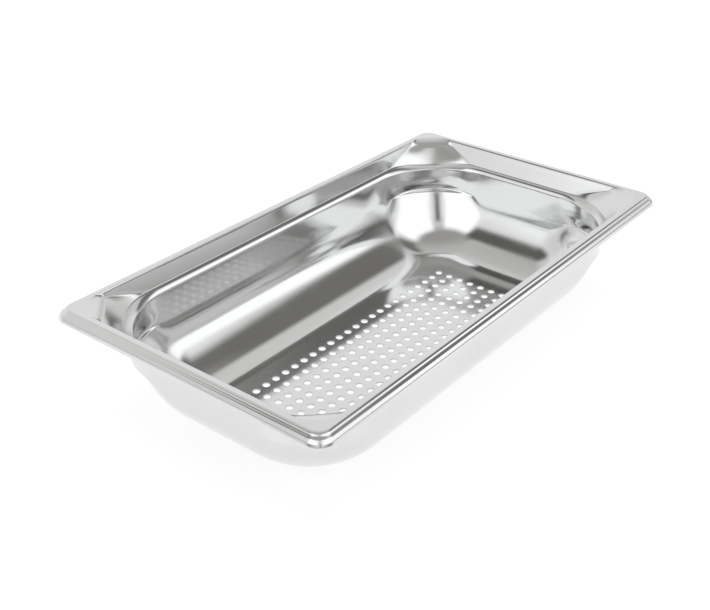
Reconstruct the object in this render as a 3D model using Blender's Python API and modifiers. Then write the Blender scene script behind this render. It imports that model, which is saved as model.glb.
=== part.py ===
"""A perforated steam-table pan, one-third size and 65 mm deep, drawn from one steel sheet.

The pan stands on its floor, centred on the origin, with its length along X and its rim at the top.
Its upper face is a stack of level rounded rectangles, each set in from the outline of the rim.
"""

import math

import bmesh
import bpy

MM = 0.001

# Driving dimensions, in millimetres
LENGTH = 325.0
WIDTH = 176.0
DEPTH = 65.0
SHEET = 0.8

HOLE_DIAMETER = 4.0
HOLE_PITCH = 8.0
HOLE_COLUMNS = 24
HOLE_ROWS = 7
HOLE_SIDES = 8
DRILL_REACH = 4.0

CORNER_STEPS = 8
FILLET_STEPS = 7
LEAST_STEP = 1.5

# The rim's section. Each row is the inset from the ends, the inset from the sides, the height, how far
# the corner reaches along each side in plan, how much it is flattened towards a chamfer (1 is round)
# and how far it dips there. The rows run from the upright skirt over the crest and down to the lip.
RIM_SECTION = (
    (0.0, 0.0, 59.4, 9.0, 1.0, 0.0),
    (0.0, 0.0, 60.4, 9.0, 1.0, 0.0),
    (0.7, 0.7, 61.8, 8.6, 1.0, 0.0),
    (1.9, 1.9, 63.1, 7.8, 1.0, 0.0),
    (2.9, 2.9, 63.8, 7.0, 1.0, 0.0),
    (3.7, 3.7, 64.7, 6.5, 1.0, 0.0),
    (4.6, 4.6, DEPTH, 6.2, 1.0, 0.0),
    (7.5, 7.6, DEPTH, 15.0, 1.3, 0.0),
    (8.1, 8.0, 64.5, 19.0, 2.5, 0.0),
    (8.9, 8.35, 63.4, 21.5, 4.5, 0.2),
    (9.6, 8.55, 61.8, 23.4, 5.0, 0.3),
    (13.3, 9.7, 54.2, 43.0, 1.0, 2.2),
    (14.6, 11.1, 53.4, 45.2, 1.0, 1.8),
    (15.4, 12.0, 52.2, 46.0, 1.0, 1.2),
    (16.0, 12.6, 50.8, 46.4, 1.0, 0.5),
)
ROUND = 1.0

# The basin below the lip
WALL_INSET_ENDS = 16.3
WALL_INSET_SIDES = 12.9
WALL_TOP = 48.0
WALL_DRAFT = math.radians(5.5)
FLOOR_FILLET = 38.5

# The stacking ledge across each corner: the wall bulges out down to LEDGE_TOP, then steps in
LEDGE_START = 41.0
LEDGE_TOP = 35.5
LEDGE_EDGE = 34.2
LEDGE_FOOT = 31.6

# Corner radius of the basin against height
CORNER_RADII = (
    (WALL_TOP, 45.8),
    (LEDGE_START, 42.9),
    (LEDGE_TOP, 37.3),
    (LEDGE_EDGE, 41.4),
    (LEDGE_FOOT, 44.6),
    (26.5, 46.9),
    (22.0, 46.2),
    (16.0, 43.0),
    (11.0, 37.8),
    (7.0, 31.2),
    (3.4, 22.0),
    (SHEET, 12.0),
)


def clear_scene():
    for thing in list(bpy.data.objects):
        bpy.data.objects.remove(thing, do_unlink=True)


def collection(name, hidden=False):
    group = bpy.data.collections.new(name)
    group.hide_render = hidden
    bpy.context.scene.collection.children.link(group)
    return group


def move_to(group, thing):
    for old in list(thing.users_collection):
        old.objects.unlink(thing)
    group.objects.link(thing)


def steel():
    material = bpy.data.materials.new("satin_stainless_steel")
    material.use_nodes = True
    shader = material.node_tree.nodes["Principled BSDF"]
    shader.inputs["Base Color"].default_value = (0.72, 0.72, 0.71, 1.0)
    shader.inputs["Metallic"].default_value = 1.0
    shader.inputs["Roughness"].default_value = 0.22
    return material


def corner_curve(flatness):
    """A quarter turn from (1, 0) to (0, 1): round at 1, closer to a straight chamfer as flatness grows."""
    x, y = 0.0, 0.0
    path = [(x, y)]
    for step in range(CORNER_STEPS):
        lean = 2 * (step + 0.5) / CORNER_STEPS - 1
        heading = math.pi / 4 * (1 + math.copysign(abs(lean) ** flatness, lean))
        x -= math.sin(heading)
        y += math.cos(heading)
        path.append((x, y))
    return [(1 + along / y, across / y) for along, across in path]


def rounded_rectangle(inset_ends, inset_sides, height, reach, flatness=ROUND, dip=0.0):
    """The points of one ring, anticlockwise from the corner at +X +Y."""
    half_x = LENGTH / 2 - inset_ends - reach
    half_y = WIDTH / 2 - inset_sides - reach
    curve = corner_curve(flatness)
    points = []
    for sign_x, sign_y, turn_x, turn_y in ((1, 1, 1, 0), (-1, 1, 0, 1), (-1, -1, -1, 0), (1, -1, 0, -1)):
        for step, (along, across) in enumerate(curve):
            x = sign_x * half_x + reach * (along * turn_x - across * turn_y)
            y = sign_y * half_y + reach * (along * turn_y + across * turn_x)
            z = height - dip * math.sin(math.pi * step / CORNER_STEPS) ** 2
            points.append((x * MM, y * MM, z * MM))
    return points


def corner_radius(height):
    """The basin's corner radius at a height, in straight steps between the given ones."""
    for (high, upper), (low, lower) in zip(CORNER_RADII, CORNER_RADII[1:]):
        if height >= low:
            return lower + (upper - lower) * (height - low) / (high - low)
    return CORNER_RADII[-1][1]


def basin_inset(height):
    """How far the wall has moved in from WALL_TOP to a height: a draft, then the floor fillet's arc."""
    centre = SHEET + FLOOR_FILLET
    tangent = centre - FLOOR_FILLET * math.sin(WALL_DRAFT)
    if height >= tangent:
        return (WALL_TOP - height) * math.tan(WALL_DRAFT)
    start = (WALL_TOP - tangent) * math.tan(WALL_DRAFT)
    reach = math.sqrt(FLOOR_FILLET**2 - (centre - height) ** 2)
    return start + FLOOR_FILLET * math.cos(WALL_DRAFT) - reach


def basin_heights():
    """Levels down the wall: the ledge's own, then even turns of the fillet."""
    heights = [WALL_TOP, LEDGE_START, LEDGE_TOP, LEDGE_EDGE, LEDGE_FOOT]
    for step in range(1, FILLET_STEPS + 1):
        turn = math.pi / 2 * step / FILLET_STEPS
        height = SHEET + FLOOR_FILLET * (1 - math.sin(turn))
        if height < LEDGE_FOOT - LEAST_STEP:
            heights.append(height)
    return heights


def rings():
    stack = [rounded_rectangle(*row) for row in RIM_SECTION]
    for height in basin_heights():
        inset = basin_inset(height)
        radius = corner_radius(height)
        stack.append(rounded_rectangle(WALL_INSET_ENDS + inset, WALL_INSET_SIDES + inset, height, radius))
    return stack


def upper_face(name):
    """The pan's upper face as one open surface, lofted from ring to ring and closed by the floor."""
    mesh = bpy.data.meshes.new(name)
    shape = bmesh.new()
    loops = [[shape.verts.new(point) for point in ring] for ring in rings()]
    for outer, inner in zip(loops, loops[1:]):
        for index in range(len(outer)):
            following = (index + 1) % len(outer)
            shape.faces.new((outer[index], outer[following], inner[following], inner[index]))
    shape.faces.new(loops[-1])
    bmesh.ops.recalc_face_normals(shape, faces=shape.faces)
    floor = max(shape.faces, key=lambda face: len(face.verts))
    if floor.normal.z < 0:
        bmesh.ops.reverse_faces(shape, faces=shape.faces)
    shape.to_mesh(mesh)
    shape.free()
    return mesh


def punch_radius():
    """The radius to the corners of a regular punch with the area of the round hole."""
    circle = math.pi * (HOLE_DIAMETER / 2) ** 2
    return math.sqrt(2 * circle / (HOLE_SIDES * math.sin(2 * math.pi / HOLE_SIDES)))


def drill(group):
    """One round punch, repeated over the whole field of holes."""
    bpy.ops.mesh.primitive_cylinder_add(
        vertices=HOLE_SIDES,
        radius=punch_radius() * MM,
        depth=2 * DRILL_REACH * MM,
        location=(
            -(HOLE_COLUMNS - 1) / 2 * HOLE_PITCH * MM,
            -(HOLE_ROWS - 1) / 2 * HOLE_PITCH * MM,
            0.0,
        ),
    )
    punch = bpy.context.active_object
    punch.name = "hole_punch"
    punch.hide_render = True
    punch.display_type = "WIRE"
    move_to(group, punch)
    for axis, count in enumerate((HOLE_COLUMNS, HOLE_ROWS)):
        repeat = punch.modifiers.new("repeat_" + "xy"[axis], "ARRAY")
        repeat.count = count
        repeat.use_relative_offset = False
        repeat.use_constant_offset = True
        repeat.constant_offset_displace = [HOLE_PITCH * MM if i == axis else 0.0 for i in range(3)]
    return punch


def pan(group, punch):
    mesh = upper_face("perforated_pan")
    mesh.shade_smooth()
    body = bpy.data.objects.new("perforated_pan", mesh)
    group.objects.link(body)
    body.data.materials.append(steel())
    thickness = body.modifiers.new("sheet", "SOLIDIFY")
    thickness.thickness = SHEET * MM
    thickness.offset = -1.0
    thickness.use_even_offset = True
    holes = body.modifiers.new("holes", "BOOLEAN")
    holes.operation = "DIFFERENCE"
    holes.solver = "EXACT"
    holes.object = punch
    return body


def main():
    clear_scene()
    parts = collection("perforated_steam_table_pan")
    cutters = collection("cutters", hidden=True)
    pan(parts, drill(cutters))


main()
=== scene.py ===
"""A perforated steam-table pan in satin stainless steel, on a pale studio floor."""

import math

import bpy
import numpy as np
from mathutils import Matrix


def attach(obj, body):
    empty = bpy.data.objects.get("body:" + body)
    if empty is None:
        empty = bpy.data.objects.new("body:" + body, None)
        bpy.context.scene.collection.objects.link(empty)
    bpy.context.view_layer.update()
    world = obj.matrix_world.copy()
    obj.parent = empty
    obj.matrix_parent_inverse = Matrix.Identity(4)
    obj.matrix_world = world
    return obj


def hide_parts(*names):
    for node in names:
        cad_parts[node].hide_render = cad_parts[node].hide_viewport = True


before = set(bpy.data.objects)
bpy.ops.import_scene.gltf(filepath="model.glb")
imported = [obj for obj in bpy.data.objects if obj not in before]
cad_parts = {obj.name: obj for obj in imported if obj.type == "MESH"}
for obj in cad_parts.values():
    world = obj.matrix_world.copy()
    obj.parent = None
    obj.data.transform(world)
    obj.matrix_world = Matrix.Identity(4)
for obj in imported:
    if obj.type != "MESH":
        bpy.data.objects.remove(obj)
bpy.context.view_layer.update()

MM = 0.001

# ------------------------------------------------ the pan's dimensions, in millimetres
LENGTH = 325.0
WIDTH = 176.0
DEPTH = 65.0
SHEET = 0.8
HOLE_RADIUS = 2.0
HOLE_PITCH = 8.0
HOLE_COLUMNS = 24
HOLE_ROWS = 7
HOLE_SIDES = 32

CORNER_STEPS = 26
RUN_STEPS_X = 2 * HOLE_COLUMNS
RUN_STEPS_Y = 2 * HOLE_ROWS

# The corners of the rim's section, from the skirt's cut edge in to the wall. Each row is the inset
# from the ends, the inset from the sides, the height, how far the pan's corner reaches along each
# side in plan, how much it is flattened towards a chamfer (1 is round), how far it dips there, and
# how far the section's own corner is rounded off.
RIM_SECTION = (
    (0.0, 0.0, 59.4, 9.0, 1.0, 0.0, 0.0),
    (0.03, 0.03, 60.0, 9.0, 1.0, 0.0, 0.3),
    (0.66, 0.66, 61.65, 8.6, 1.0, 0.0, 0.4),
    (1.8, 1.8, 63.0, 7.8, 1.0, 0.0, 0.35),
    (2.9, 2.9, 63.75, 7.0, 1.0, 0.0, 0.35),
    (3.65, 3.65, 64.6, 6.5, 1.0, 0.0, 0.3),
    (4.5, 4.5, DEPTH, 6.2, 1.0, 0.0, 0.35),
    (7.5, 7.6, DEPTH, 15.0, 1.3, 0.0, 0.2),
    (7.9, 7.87, 64.65, 17.0, 1.9, 0.0, 0.25),
    (8.32, 8.1, 64.05, 19.0, 3.0, 0.1, 0.38),
    (8.75, 8.3, 63.2, 20.0, 4.5, 0.2, 0.5),
    (9.35, 8.5, 61.9, 20.8, 5.5, 0.3, 0.7),
    (13.3, 9.7, 54.2, 42.0, 1.0, 2.3, 0.4),
    (14.8, 11.3, 53.2, 45.2, 1.0, 1.7, 0.85),
    (15.9, 12.4, 51.4, 46.4, 1.0, 0.7, 0.85),
)
INSET, HEIGHT = 0, 2
ROUNDING_STEPS = 6
ROUND = 1.0

# The basin below the rim. WALL_HEAD is where the wall's rings begin, and WALL_TOP is the height at
# which its insets are given.
WALL_INSET_ENDS = 16.3
WALL_INSET_SIDES = 12.9
WALL_TOP = 48.0
WALL_HEAD = 50.6
WALL_DRAFT = math.radians(5.5)
WALL_STEP = 0.75
FLOOR_FILLET = 38.5
FLOOR_HEIGHT = SHEET
FILLET_STEPS = 29

# The rings lie closer together past the ledge that crosses each corner
LEDGE_APPROACH = 38.5
LEDGE_FIRST = 38.2
LEDGE_LAST = 33.6
LEDGE_STEP = 0.25

# The basin's corner radius against height
CORNER_RADII = (
    (50.6, 46.6),
    (48.0, 45.8),
    (44.5, 44.8),
    (42.0, 43.6),
    (40.0, 42.0),
    (38.0, 39.8),
    (36.5, 38.0),
    (35.5, 37.3),
    (34.9, 38.6),
    (34.2, 41.4),
    (33.3, 43.0),
    (31.6, 44.6),
    (29.5, 46.0),
    (26.5, 46.9),
    (22.0, 46.2),
    (16.0, 43.0),
    (11.0, 37.8),
    (7.0, 31.2),
    (3.4, 22.0),
    (0.8, 12.0),
)


# ------------------------------------------------ the sheet's upper face, ring by ring
def moved(here, there, length):
    """The point of the section that lies a length away from here, on the way to there."""
    way = there - here
    return here + way * length / np.hypot(way[INSET], way[HEIGHT])


def rim_stations():
    """The rim's section, with each corner between its two ends rounded off by a short curve."""
    points = np.array([row[:-1] for row in RIM_SECTION])
    roundings = [row[-1] for row in RIM_SECTION]
    stations = [points[0]]
    for before, here, after, rounding in zip(points, points[1:], points[2:], roundings[1:]):
        start = moved(here, before, rounding)
        end = moved(here, after, rounding)
        for step in range(ROUNDING_STEPS + 1):
            t = step / ROUNDING_STEPS
            stations.append(start * (1 - t) ** 2 + here * 2 * t * (1 - t) + end * t**2)
    stations.append(points[-1])
    return stations


def smooth_radius(height):
    """The basin's corner radius at a height, on a smooth curve through the given ones."""
    heights = np.array([row[0] for row in CORNER_RADII])[::-1]
    radii = np.array([row[1] for row in CORNER_RADII])[::-1]
    slopes = np.gradient(radii, heights)
    index = int(np.clip(np.searchsorted(heights, height) - 1, 0, len(heights) - 2))
    span = heights[index + 1] - heights[index]
    t = (height - heights[index]) / span
    return (
        (2 * t**3 - 3 * t**2 + 1) * radii[index]
        + (t**3 - 2 * t**2 + t) * span * slopes[index]
        + (3 * t**2 - 2 * t**3) * radii[index + 1]
        + (t**3 - t**2) * span * slopes[index + 1]
    )


def basin_inset(height):
    """How far the wall has moved in from WALL_TOP to a height: a draft, then the fillet's arc."""
    centre = FLOOR_HEIGHT + FLOOR_FILLET
    tangent = centre - FLOOR_FILLET * math.sin(WALL_DRAFT)
    if height >= tangent:
        return (WALL_TOP - height) * math.tan(WALL_DRAFT)
    start = (WALL_TOP - tangent) * math.tan(WALL_DRAFT)
    reach = math.sqrt(FLOOR_FILLET**2 - (centre - height) ** 2)
    return start + FLOOR_FILLET * math.cos(WALL_DRAFT) - reach


def basin_stations():
    """Rings down the wall, past the ledge, and round the fillet to the floor."""
    heights = list(np.arange(WALL_HEAD, LEDGE_APPROACH, -WALL_STEP))
    heights += list(np.arange(LEDGE_FIRST, LEDGE_LAST, -LEDGE_STEP))
    turn = math.asin((FLOOR_HEIGHT + FLOOR_FILLET - heights[-1]) / FLOOR_FILLET)
    for angle in np.linspace(turn, math.pi / 2, FILLET_STEPS + 1)[1:]:
        heights.append(FLOOR_HEIGHT + FLOOR_FILLET * (1 - math.sin(angle)))
    stations = []
    for height in heights:
        inset = basin_inset(height)
        ends, sides = WALL_INSET_ENDS + inset, WALL_INSET_SIDES + inset
        stations.append((ends, sides, height, smooth_radius(height), ROUND, 0.0))
    return stations


def corner_curve(flatness):
    """A quarter turn from (1, 0) to (0, 1): round at 1, nearer to a chamfer as flatness grows."""
    lean = 2 * (np.arange(CORNER_STEPS) + 0.5) / CORNER_STEPS - 1
    heading = math.pi / 4 * (1 + np.sign(lean) * np.abs(lean) ** flatness)
    steps = np.stack([-np.sin(heading), np.cos(heading)], axis=1)
    path = np.vstack([(0.0, 0.0), np.cumsum(steps, axis=0)])
    return path / path[-1, 1] + (1.0, 0.0)


def ring(inset_ends, inset_sides, height, reach, flatness, dip):
    """One ring's points, anticlockwise: a corner, then the run to the next one."""
    curve = corner_curve(flatness) * reach
    lowered = height - dip * np.sin(np.linspace(0, math.pi, CORNER_STEPS + 1)) ** 2
    half_x = LENGTH / 2 - inset_ends
    half_y = WIDTH / 2 - inset_sides
    points = []
    for quarter, (sign_x, sign_y) in enumerate(((1, 1), (-1, 1), (-1, -1), (1, -1))):
        turn_x, turn_y = ((1, 0), (0, 1), (-1, 0), (0, -1))[quarter]
        x = sign_x * (half_x - reach) + curve[:, 0] * turn_x - curve[:, 1] * turn_y
        y = sign_y * (half_y - reach) + curve[:, 0] * turn_y + curve[:, 1] * turn_x
        points += list(zip(x, y, lowered))
        steps = RUN_STEPS_Y if quarter % 2 else RUN_STEPS_X
        share = np.arange(1, steps) / steps
        end_x, end_y = x[-1], y[-1]
        if quarter % 2:
            points += [(end_x, end_y - s * sign_y * 2 * (half_y - reach), height) for s in share]
        else:
            points += [(end_x - s * sign_x * 2 * (half_x - reach), end_y, height) for s in share]
    return np.array(points)


def upper_face():
    """The sheet's upper face, as a grid of points: one row for each ring."""
    return np.array([ring(*station) for station in rim_stations() + basin_stations()])


def normals_of(grid):
    """Unit normals of a grid of points that closes round each ring, pointing out of the sheet."""
    along = np.roll(grid, -1, axis=1) - np.roll(grid, 1, axis=1)
    down = np.gradient(grid, axis=0)
    normal = np.cross(along, down)
    return normal / np.linalg.norm(normal, axis=2, keepdims=True)


# ------------------------------------------------ the mesh
class Builder:
    """Collects points, normals and faces. A point with a name is added only once."""

    def __init__(self):
        self.points = []
        self.normals = []
        self.faces = []
        self.named = {}

    def add(self, point, normal, name=None):
        if name is not None and name in self.named:
            return self.named[name]
        self.points.append(tuple(float(c) for c in point))
        self.normals.append(tuple(float(c) for c in normal))
        if name is not None:
            self.named[name] = len(self.points) - 1
        return len(self.points) - 1

    def face(self, corners, flip=False):
        """A face without the corners that coincide, or none if fewer than three are left."""
        kept = []
        for corner in corners:
            if corner not in kept:
                kept.append(corner)
        if len(kept) > 2:
            self.faces.append(kept[::-1] if flip else kept)

    def band(self, outer, inner, flip=False):
        """A closed strip of faces between two rings with the same number of points."""
        for k, following in around(len(outer)):
            self.face((outer[k], outer[following], inner[following], inner[k]), flip)


def around(count):
    """Each place on a closed ring, with the one that follows it."""
    return [(k, (k + 1) % count) for k in range(count)]


def shell(builder):
    """Both faces of the sheet down to the flat floor, joined by the cut edge of the skirt.

    Gives back each face's last ring, which the floor is joined to.
    """
    top = upper_face()
    normal = normals_of(top)
    # the floor is level at the last ring, and the skirt is upright at the first
    normal[-1] = (0.0, 0.0, 1.0)
    normal[0] *= (1, 1, 0)
    normal[0] /= np.linalg.norm(normal[0], axis=1, keepdims=True)
    bottom = top - normal * SHEET
    bottom[-1] *= (1, 1, 0)
    layers = {}
    for side, grid, facing in (("top", top, normal), ("bottom", bottom, -normal)):
        rings = [[builder.add(*pair) for pair in zip(*rows)] for rows in zip(grid, facing)]
        for outer, inner in zip(rings, rings[1:]):
            builder.band(outer, inner, flip=side == "bottom")
        layers[side] = rings
    upper, lower = layers["top"][0], layers["bottom"][0]
    for k, following in around(len(upper)):
        builder.face((upper[k], lower[k], lower[following], upper[following]))
    return {side: rings[-1] for side, rings in layers.items()}


# A hole's section, from the sheet's upper face down: how much wider than the punch, and the depth
HOLE_SECTION = (
    (0.42, 0.0),
    (0.22, 0.03),
    (0.08, 0.1),
    (0.0, 0.22),
    (0.0, 0.62),
    (0.05, 0.74),
    (0.16, 0.8),
)


def grid_corner(builder, side, i, j):
    """A point of the half-pitch grid that the cells share, on one face of the sheet."""
    x = (i / 2 - HOLE_COLUMNS / 2) * HOLE_PITCH
    y = (j / 2 - HOLE_ROWS / 2) * HOLE_PITCH
    if side == "top":
        return builder.add((x, y, SHEET), (0, 0, 1), (side, i, j))
    return builder.add((x, y, 0.0), (0, 0, -1), (side, i, j))


def hole_normals():
    """For each point of the hole's section, how far its normal leans outward and up."""
    section = np.array(HOLE_SECTION)
    steps = np.diff(section, axis=0)
    # the face between two points looks towards the hole's axis and up
    looks = np.stack([-steps[:, 1], -steps[:, 0]], axis=1)
    looks /= np.linalg.norm(looks, axis=1, keepdims=True)
    leans = [(0.0, 1.0)]
    for before, after in zip(looks, looks[1:]):
        mean = before + after
        leans.append(tuple(mean / np.linalg.norm(mean)))
    leans.append((0.0, -1.0))
    return leans


def cell(builder, column, row):
    """One square of the floor with its hole."""
    centre_x = (column + 0.5 - HOLE_COLUMNS / 2) * HOLE_PITCH
    centre_y = (row + 0.5 - HOLE_ROWS / 2) * HOLE_PITCH
    angles = 2 * math.pi * np.arange(HOLE_SIDES) / HOLE_SIDES
    rings = []
    for (wider, depth), (outward, upward) in zip(HOLE_SECTION, hole_normals()):
        radius = HOLE_RADIUS + wider
        circle = []
        for angle in angles:
            x, y = math.cos(angle), math.sin(angle)
            point = (centre_x + radius * x, centre_y + radius * y, SHEET - depth)
            circle.append(builder.add(point, (outward * x, outward * y, upward)))
        rings.append(circle)
    for upper, lower in zip(rings, rings[1:]):
        builder.band(upper, lower)
    # the square's border, anticlockwise, in half pitches from its corner; each stretch of it is
    # joined to an equal share of the hole's rim
    border = ((2, 1), (2, 2), (1, 2), (0, 2), (0, 1), (0, 0), (1, 0), (2, 0))
    per = HOLE_SIDES // len(border)
    for side, rim in (("top", rings[0]), ("bottom", rings[-1])):
        flip = side == "bottom"
        outer = [grid_corner(builder, side, 2 * column + i, 2 * row + j) for i, j in border]
        for n, following in around(len(border)):
            near, far = outer[n], outer[following]
            middle = n * per + per // 2
            for k in range(n * per, (n + 1) * per):
                apex = near if k < middle else far
                builder.face((rim[(k + 1) % HOLE_SIDES], rim[k], apex), flip)
            builder.face((rim[middle], near, far), flip)


def field_edge():
    """The grid's points round the field of holes, one for each point of a ring.

    The points that belong to a corner of the ring coincide.
    """
    last_x, last_y = 2 * HOLE_COLUMNS, 2 * HOLE_ROWS
    return (
        [(last_x, last_y)] * CORNER_STEPS
        + [(i, last_y) for i in range(last_x, 0, -1)]
        + [(0, last_y)] * CORNER_STEPS
        + [(0, j) for j in range(last_y, 0, -1)]
        + [(0, 0)] * CORNER_STEPS
        + [(i, 0) for i in range(last_x)]
        + [(last_x, 0)] * CORNER_STEPS
        + [(last_x, j) for j in range(last_y)]
    )


def floor(builder, last_rings):
    """The flat floor: the field of holes, and the plain strip between it and the last rings."""
    for column in range(HOLE_COLUMNS):
        for row in range(HOLE_ROWS):
            cell(builder, column, row)
    for side, outer in last_rings.items():
        inner = [grid_corner(builder, side, i, j) for i, j in field_edge()]
        builder.band(outer, inner, flip=side == "bottom")


def make_pan():
    """The whole pan as one mesh, with the normals of the smooth surface."""
    builder = Builder()
    floor(builder, shell(builder))
    mesh = bpy.data.meshes.new("pan")
    mesh.from_pydata([[c * MM for c in p] for p in builder.points], [], builder.faces)
    mesh.update()
    mesh.shade_smooth()
    mesh.normals_split_custom_set_from_vertices(builder.normals)
    pan = bpy.data.objects.new("pan", mesh)
    bpy.context.scene.collection.objects.link(pan)
    return pan


# ------------------------------------------------ materials
class NodeTree:
    """A node tree, with short names for the nodes that both a surface and the sky use."""

    def __init__(self, tree):
        self.nodes = tree.nodes
        self.links = tree.links

    def put(self, value, socket):
        """Give a socket a number, or link it to another node's output."""
        if isinstance(value, bpy.types.NodeSocket):
            self.links.new(value, socket)
        else:
            socket.default_value = value

    def math(self, operation, *values):
        node = self.nodes.new("ShaderNodeMath")
        node.operation = operation
        for value, socket in zip(values, node.inputs):
            self.put(value, socket)
        return node.outputs[0]

    def split(self, vector):
        """A vector's three parts."""
        node = self.nodes.new("ShaderNodeSeparateXYZ")
        self.links.new(vector, node.inputs[0])
        return node.outputs


class Surface(NodeTree):
    """A material's node tree, with short names for the nodes that vary a surface."""

    def __init__(self, name):
        self.material = bpy.data.materials.new(name)
        self.material.use_nodes = True
        super().__init__(self.material.node_tree)
        self.shader = self.nodes["Principled BSDF"]
        self.position = self.nodes.new("ShaderNodeTexCoord").outputs["Object"]

    def stretched(self, scale, turn=0.0):
        """The object's own coordinates, scaled along each axis."""
        node = self.nodes.new("ShaderNodeMapping")
        node.inputs["Scale"].default_value = scale
        node.inputs["Rotation"].default_value = (0.0, 0.0, turn)
        self.links.new(self.position, node.inputs["Vector"])
        return node.outputs["Vector"]

    def noise(self, where, scale=1.0, detail=2.0, roughness=0.5):
        node = self.nodes.new("ShaderNodeTexNoise")
        node.inputs["Scale"].default_value = scale
        node.inputs["Detail"].default_value = detail
        node.inputs["Roughness"].default_value = roughness
        self.links.new(where, node.inputs["Vector"])
        return node.outputs["Fac"]

    def span(self, value, low, high, to_low, to_high):
        """The value between low and high, moved to the range between to_low and to_high."""
        node = self.nodes.new("ShaderNodeMapRange")
        numbers = {"From Min": low, "From Max": high, "To Min": to_low, "To Max": to_high}
        for socket, number in numbers.items():
            node.inputs[socket].default_value = number
        self.links.new(value, node.inputs["Value"])
        return node.outputs["Result"]

    def corners(self, start, end, most):
        """0 over the middle, rising from start to end along each axis, in all four corners."""
        shares = []
        for part, near, far in zip(self.split(self.position), start, end):
            shares.append(self.span(self.math("ABSOLUTE", part), near, far, 0.0, 1.0))
        return self.span(self.math("MULTIPLY", *shares), 0.0, 1.0, 0.0, most)

    def tint(self, value, dark, light):
        """The base colour, from dark at 0 to light at 1."""
        node = self.nodes.new("ShaderNodeValToRGB")
        node.color_ramp.elements[0].color = dark
        node.color_ramp.elements[1].color = light
        self.links.new(value, node.inputs["Fac"])
        self.links.new(node.outputs["Color"], self.shader.inputs["Base Color"])

    def bump(self, height, distance, below=None):
        """A relief of the given depth in metres, on top of another one if there is one below."""
        node = self.nodes.new("ShaderNodeBump")
        node.inputs["Distance"].default_value = distance
        self.links.new(height, node.inputs["Height"])
        if below is not None:
            self.links.new(below, node.inputs["Normal"])
        return node.outputs["Normal"]


# The range that a noise keeps to over most of a surface
NOISE_RANGE = (0.3, 0.7)
UNSTRETCHED = (1.0, 1.0, 1.0)

# The steel's finish: scales are per metre, and the stretches give long marks along one axis
STEEL_DARK = (0.7, 0.7, 0.695, 1.0)
STEEL_LIGHT = (0.76, 0.765, 0.765, 1.0)
CLOUD_SCALE = 22.0
CLOUD_ROUGHNESS = (0.07, 0.105)
STREAK_STRETCH = (14.0, 900.0, 700.0)
STREAK_ROUGHNESS = (-0.015, 0.03)
STREAK_TINT = (-0.12, 0.12)
STREAK_DEPTH = 0.0000012
GRAIN_SCALE = 2600.0
GRAIN_DEPTH = 0.0000006
RUB_STRETCH = (30.0, 1400.0, 1400.0)
RUB_TURN = math.radians(24)
RUB_RANGE = (0.62, 0.7)
RUB_ROUGHNESS = 0.09
WORN_SCALE = 9.0
WORN_RANGE = (0.48, 0.62)
WAVE_STRETCH = (1.0, 1.0, 1.6)
WAVE_SCALE = 26.0
WAVE_DEPTH = 0.00007

# The drawn corners are duller: where that starts and is full, along the length and the width
DULL_FROM = (0.09, 0.045)
DULL_TO = (0.13, 0.07)
DULL_ROUGHNESS = 0.12


def steel():
    """Satin stainless sheet.

    Its finish has clouds, fine polishing lines, light rub marks and a hint of waves from drawing.
    """
    sheet = Surface("satin_stainless_steel")
    plain = sheet.stretched(UNSTRETCHED)
    clouds = sheet.noise(plain, CLOUD_SCALE, detail=3.0)
    streaks = sheet.noise(sheet.stretched(STREAK_STRETCH), detail=3.0, roughness=0.6)
    grain = sheet.noise(plain, GRAIN_SCALE, detail=1.0)
    rubs = sheet.noise(sheet.stretched(RUB_STRETCH, RUB_TURN), detail=2.0)
    worn = sheet.noise(plain, WORN_SCALE, detail=2.0)
    rubs = sheet.span(rubs, *RUB_RANGE, 0.0, 1.0)
    worn = sheet.span(worn, *WORN_RANGE, 0.0, 1.0)
    rubbed = sheet.math("MULTIPLY", rubs, worn)

    finish = sheet.span(clouds, *NOISE_RANGE, *CLOUD_ROUGHNESS)
    finish = sheet.math("ADD", finish, sheet.corners(DULL_FROM, DULL_TO, DULL_ROUGHNESS))
    finish = sheet.math("ADD", finish, sheet.span(streaks, *NOISE_RANGE, *STREAK_ROUGHNESS))
    finish = sheet.math("ADD", finish, sheet.span(rubbed, 0.0, 1.0, 0.0, RUB_ROUGHNESS))
    sheet.links.new(finish, sheet.shader.inputs["Roughness"])
    sheet.shader.inputs["Metallic"].default_value = 1.0

    shade = sheet.math("ADD", clouds, sheet.span(streaks, 0.0, 1.0, *STREAK_TINT))
    sheet.tint(shade, STEEL_DARK, STEEL_LIGHT)

    waves = sheet.noise(sheet.stretched(WAVE_STRETCH), WAVE_SCALE, detail=1.0)
    relief = sheet.bump(waves, WAVE_DEPTH)
    relief = sheet.bump(streaks, STREAK_DEPTH, relief)
    relief = sheet.bump(grain, GRAIN_DEPTH, relief)
    sheet.links.new(relief, sheet.shader.inputs["Normal"])
    return sheet.material


PAPER_DARK = (0.24, 0.24, 0.24, 1.0)
PAPER_LIGHT = (0.26, 0.26, 0.26, 1.0)
PAPER_ROUGHNESS = (0.75, 0.9)
PAPER_SPECULAR = 0.1
PAPER_GLOW = 0.8
FIBRE_SCALE = 300.0
WHITE = (1.0, 1.0, 1.0, 1.0)


def floor_material():
    """Matt paper, a little uneven, that glows faintly so that it stays pale under the pan."""
    paper = Surface("studio_floor")
    fibres = paper.noise(paper.stretched(UNSTRETCHED), FIBRE_SCALE, detail=3.0)
    paper.tint(fibres, PAPER_DARK, PAPER_LIGHT)
    roughness = paper.span(fibres, *NOISE_RANGE, *PAPER_ROUGHNESS)
    paper.links.new(roughness, paper.shader.inputs["Roughness"])
    paper.shader.inputs["Specular IOR Level"].default_value = PAPER_SPECULAR
    paper.shader.inputs["Emission Color"].default_value = WHITE
    paper.shader.inputs["Emission Strength"].default_value = PAPER_GLOW
    return paper.material


# ------------------------------------------------ the pan
pan = make_pan()
pan.data.materials.append(steel())
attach(pan, "root")
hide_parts("perforated_pan")

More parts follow.
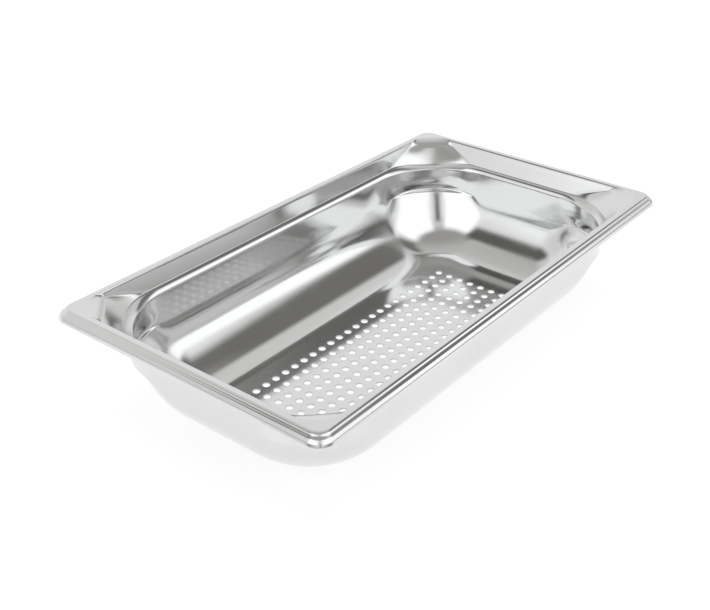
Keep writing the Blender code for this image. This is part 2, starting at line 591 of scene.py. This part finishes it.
# ------------------------------------------------ studio
STUDIO_HALF = 3.0
FLOOR_GAP = 0.0003

plane = bpy.data.meshes.new("studio_floor")
square = [(x * STUDIO_HALF, y * STUDIO_HALF, 0) for x, y in ((-1, -1), (1, -1), (1, 1), (-1, 1))]
plane.from_pydata(square, [], [(0, 1, 2, 3)])
ground = bpy.data.objects.new("studio_floor", plane)
ground.location.z = -FLOOR_GAP
bpy.context.scene.collection.objects.link(ground)
ground.data.materials.append(floor_material())

# The studio's light, as it would be seen from the pan. Bearings are in degrees, clockwise from
# above, from the gap between the two large soft boxes; heights are in degrees above the horizon.
# Each patch is its bearing from and to, its height from and to, the softness of its edge, and its
# brightness. The cards are laid first and the boxes over them.
GAP_BEARING = 225.0
DARK_CARDS = {
    "far_side": (-160.0, -112.0, -20.0, 22.0, 24.0, 0.74),
    "gap": (-5.0, 3.0, -12.0, 46.0, 7.0, 0.12),
    "table_edge_left": (8.0, 106.0, -9.0, 9.0, 5.0, 0.16),
    "table_edge_right": (-126.0, -12.0, -9.0, 9.0, 5.0, 0.08),
    "left_flag": (76.0, 102.0, 37.0, 60.0, 13.0, 0.13),
    "left_low_flag": (80.0, 108.0, 4.0, 34.0, 14.0, 0.8),
    "right_flag": (-138.0, -94.0, 27.0, 58.0, 13.0, 0.2),
}
SOFT_BOXES = {
    "left_box": (12.0, 70.0, 11.0, 56.0, 12.0, 1.45),
    "right_box": (-84.0, -14.0, 11.0, 58.0, 12.0, 1.45),
    "right_box_low": (-103.0, -80.0, 11.0, 26.0, 7.0, 1.4),
}

# Behind the patches, the backdrop darkens with height and gives way to the ceiling, which is darker
# on the side of the gap
BACKDROP = 0.95
BACKDROP_HIGH = 0.76
BACKDROP_FADE = (34.0, 46.0)
CEILING_NEAR = 0.4
CEILING_FAR = 0.6
CEILING_TURN = (-0.4, 0.3)
CEILING_FADE = (50.0, 64.0)
BRIGHTEST = 1.45
WARM_SHADE = (1.0, 0.972, 0.935, 1.0)
COOL_LIGHT = (0.975, 0.99, 1.0, 1.0)
PALE_BACKGROUND = 1.0
DEGREES = 180 / math.pi


class Sky(NodeTree):
    """A world's node tree, built from named soft-edged patches of the sky."""

    def __init__(self, tree):
        super().__init__(tree)
        direction = self.nodes.new("ShaderNodeTexCoord").outputs["Generated"]
        x, y, z = self.split(direction)
        turn = math.radians(GAP_BEARING)
        # the bearing is measured in a frame whose forward axis points at the gap
        self.forward = self.add(self.times(x, math.sin(turn)), self.times(y, math.cos(turn)))
        side = self.add(self.times(x, math.cos(turn)), self.times(y, -math.sin(turn)))
        self.bearing = self.times(self.math("ARCTAN2", side, self.forward), DEGREES)
        self.height = self.times(self.math("ARCSINE", z), DEGREES)

    def times(self, a, b):
        return self.math("MULTIPLY", a, b)

    def add(self, a, b):
        return self.math("ADD", a, b)

    def ramp(self, value, start, end):
        """A smooth step from 0 at start to 1 at end."""
        node = self.nodes.new("ShaderNodeMapRange")
        node.interpolation_type = "SMOOTHSTEP"
        node.inputs["From Min"].default_value = start
        node.inputs["From Max"].default_value = end
        self.links.new(value, node.inputs["Value"])
        return node.outputs["Result"]

    def patch(self, name, low, high, bottom, top, soft):
        """1 between two bearings and two heights and 0 elsewhere, with soft edges."""
        half = soft / 2
        left = self.ramp(self.bearing, low - half, low + half)
        right = self.ramp(self.bearing, high + half, high - half)
        under = self.ramp(self.height, bottom - half, bottom + half)
        over = self.ramp(self.height, top + half, top - half)
        mask = self.times(self.times(left, right), self.times(under, over))
        mask.node.label = name
        return mask

    def blend(self, mask, below, above):
        """below where the mask is 0 and above where it is 1."""
        node = self.nodes.new("ShaderNodeMix")
        node.data_type = "FLOAT"
        self.links.new(mask, node.inputs["Factor"])
        self.put(below, node.inputs["A"])
        self.put(above, node.inputs["B"])
        return node.outputs["Result"]


def make_world():
    """The studio's light, and a plain pale background for the camera itself."""
    world = bpy.data.worlds.new("studio")
    world.use_nodes = True
    bpy.context.scene.world = world
    tree = world.node_tree
    sky = Sky(tree)
    level = sky.blend(sky.ramp(sky.height, *BACKDROP_FADE), BACKDROP, BACKDROP_HIGH)
    ceiling = sky.blend(sky.ramp(sky.forward, *CEILING_TURN), CEILING_FAR, CEILING_NEAR)
    level = sky.blend(sky.ramp(sky.height, *CEILING_FADE), level, ceiling)
    for patches in (DARK_CARDS, SOFT_BOXES):
        for name, (*place, brightness) in patches.items():
            level = sky.blend(sky.patch(name, *place), level, brightness)
    to_camera = tree.nodes.new("ShaderNodeLightPath").outputs["Is Camera Ray"]
    level = sky.blend(to_camera, level, PALE_BACKGROUND)

    # dim light is a little warm and bright light a little cool
    tint = tree.nodes.new("ShaderNodeValToRGB")
    tint.color_ramp.elements[0].color = WARM_SHADE
    tint.color_ramp.elements[1].color = WHITE
    tint.color_ramp.elements[1].position = BACKDROP / BRIGHTEST
    tint.color_ramp.elements.new(1.0).color = COOL_LIGHT
    background = tree.nodes["Background"]
    tree.links.new(sky.math("DIVIDE", level, BRIGHTEST), tint.inputs["Fac"])
    tree.links.new(tint.outputs["Color"], background.inputs["Color"])
    tree.links.new(level, background.inputs["Strength"])


make_world()

TOP_LIGHT_SIZE = 1.6
TOP_LIGHT_HEIGHT = 1.7
TOP_LIGHT_WATTS = 12.0
top_light = bpy.data.lights.new("top_light", "AREA")
top_light.shape = "SQUARE"
top_light.size = TOP_LIGHT_SIZE
top_light.energy = TOP_LIGHT_WATTS
lamp = bpy.data.objects.new("top_light", top_light)
lamp.location = (0.0, 0.0, TOP_LIGHT_HEIGHT)
lamp.visible_glossy = False
lamp.visible_camera = False
bpy.context.scene.collection.objects.link(lamp)
bpy.context.scene.view_settings.view_transform = "Standard"

# ------------------------------------------------ camera
# Where it stands in metres, its Euler angles in degrees, and its lens and sensor in millimetres
CAMERA_AT = (-0.4341, -0.3154, 0.3360)
CAMERA_TURN = (59.97, -0.61, -51.79)
CAMERA_LENS = 54.66
SENSOR = 36.0

lens = bpy.data.cameras.new("camera")
lens.lens = CAMERA_LENS
lens.sensor_width = SENSOR
camera = bpy.data.objects.new("camera", lens)
camera.location = CAMERA_AT
camera.rotation_euler = [math.radians(angle) for angle in CAMERA_TURN]
bpy.context.scene.collection.objects.link(camera)
bpy.context.scene.camera = camera
